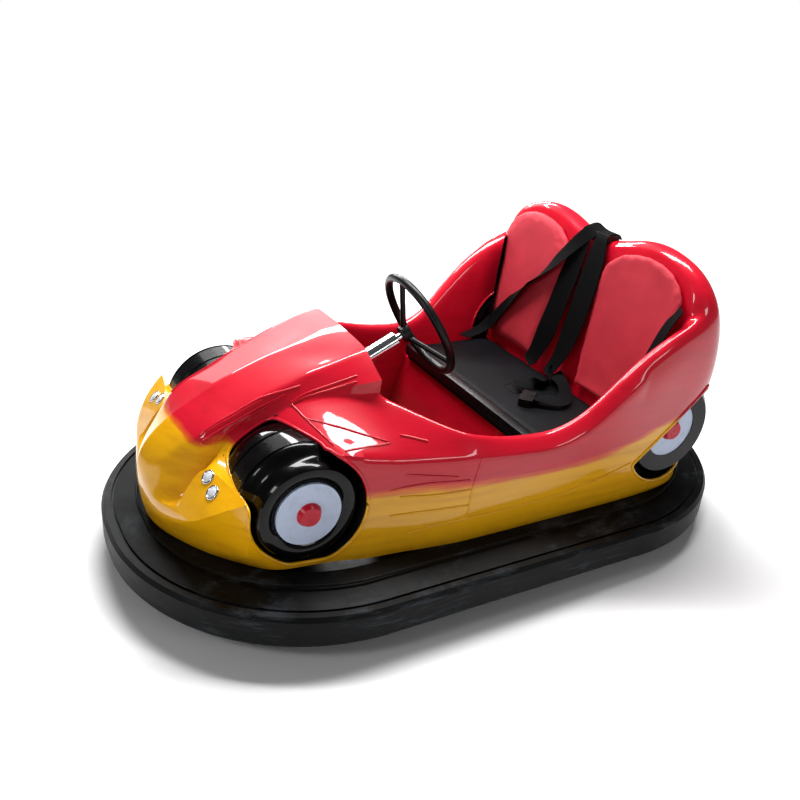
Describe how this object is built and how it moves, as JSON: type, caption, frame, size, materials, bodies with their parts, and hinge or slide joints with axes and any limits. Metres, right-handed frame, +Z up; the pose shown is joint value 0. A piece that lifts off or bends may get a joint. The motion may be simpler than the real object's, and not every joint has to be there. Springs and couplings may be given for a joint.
{
  "type": "two-seat fairground bumper car",
  "caption": "Two-seat bumper car with a moulded glass-fibre body, rubber bumper ring, bench seat, lap and shoulder belts, and a steered drive wheel under the nose.",
  "frame": {"origin": "on the floor, under the middle of the bumper ring", "axes": "+X to the nose, +Y to the driver's left, +Z up"},
  "size_m": [1.95, 1.168, 0.893],
  "materials": {
    "gloss_red_grp": "gloss",
    "rubber_black": "worn",
    "painted_steel": "satin",
    "bright_steel": "polished",
    "cast_alloy": "as cast",
    "gloss_black_grp": "gloss",
    "white_disc": "gloss",
    "red_cap": "gloss",
    "seat_vinyl": "satin",
    "back_vinyl": "matt",
    "webbing": "woven",
    "battery_case": "moulded",
    "grip_black": "satin",
    "roller_tyre": "solid rubber"
  },
  "bodies": {
    "car": {"accelerator_pedal": "painted_steel", "backrest_pad_left": "back_vinyl", "backrest_pad_right": "back_vinyl", "battery": "battery_case", "belt_anchor": "painted_steel", "belt_buckle": "grip_black", "bumper_band": "painted_steel", "bumper_ring": "rubber_black", "chassis_frame": "painted_steel", "column_frame": "painted_steel", "drive_bridge": "painted_steel", "floor_pan": "painted_steel", "front_cap_left": "red_cap", "front_cap_right": "red_cap", "front_disc_left": "white_disc", "front_disc_right": "white_disc", "front_shell": "gloss_red_grp", "front_tyre_left": "gloss_black_grp", "front_tyre_right": "gloss_black_grp", "rear_axle_left": "painted_steel", "rear_axle_right": "painted_steel", "rear_cap_left": "red_cap", "rear_cap_right": "red_cap", "rear_disc_left": "white_disc", "rear_disc_right": "white_disc", "rear_shell": "gloss_red_grp", "rear_tyre_left": "gloss_black_grp", "rear_tyre_right": "gloss_black_grp", "seat_base": "gloss_red_grp", "seat_cushion": "seat_vinyl", "seat_trim": "seat_vinyl", "shoulder_belt_left": "webbing", "shoulder_belt_right": "webbing", "side_panel_left": "gloss_red_grp", "side_panel_right": "gloss_red_grp", "steering_column": "bright_steel", "steering_gearbox": "cast_alloy"},
    "drive_unit": {"drive_fork": "painted_steel", "drive_motor": "cast_alloy", "drive_axle": "bright_steel"},
    "drive_wheel": {"drive_wheel_tyre": "roller_tyre", "drive_wheel_hub": "cast_alloy"},
    "steering": {"steering_wheel": "grip_black", "steering_shaft": "bright_steel"},
    "rear_roller_left": {"rear_roller_left_tyre": "roller_tyre", "rear_roller_left_hub": "cast_alloy"},
    "rear_roller_right": {"rear_roller_right_tyre": "roller_tyre", "rear_roller_right_hub": "cast_alloy"}
  },
  "joints": [
    {"name": "drive_unit_turn", "type": "hinge", "parent": "car", "child": "drive_unit", "pos_m": [0.46, 0, 0.243], "axis": [0, 0, 1], "continuous": true},
    {"name": "steering_turn", "type": "hinge", "parent": "car", "child": "steering", "pos_m": [0.061, 0, 0.622], "axis": [-0.8988, 0, 0.4384], "continuous": true},
    {"name": "drive_wheel_roll", "type": "hinge", "parent": "drive_unit", "child": "drive_wheel", "pos_m": [0.46, 0, 0.1], "axis": [0, 1, 0], "continuous": true},
    {"name": "rear_roller_left_roll", "type": "hinge", "parent": "car", "child": "rear_roller_left", "pos_m": [-0.6, 0.3, 0.1], "axis": [0, 1, 0], "continuous": true},
    {"name": "rear_roller_right_roll", "type": "hinge", "parent": "car", "child": "rear_roller_right", "pos_m": [-0.6, -0.3, 0.1], "axis": [0, 1, 0], "continuous": true}
  ],
  "couplings": [
    {"joint": "steering_turn", "follows": "drive_unit_turn", "ratio": 1}
  ]
}
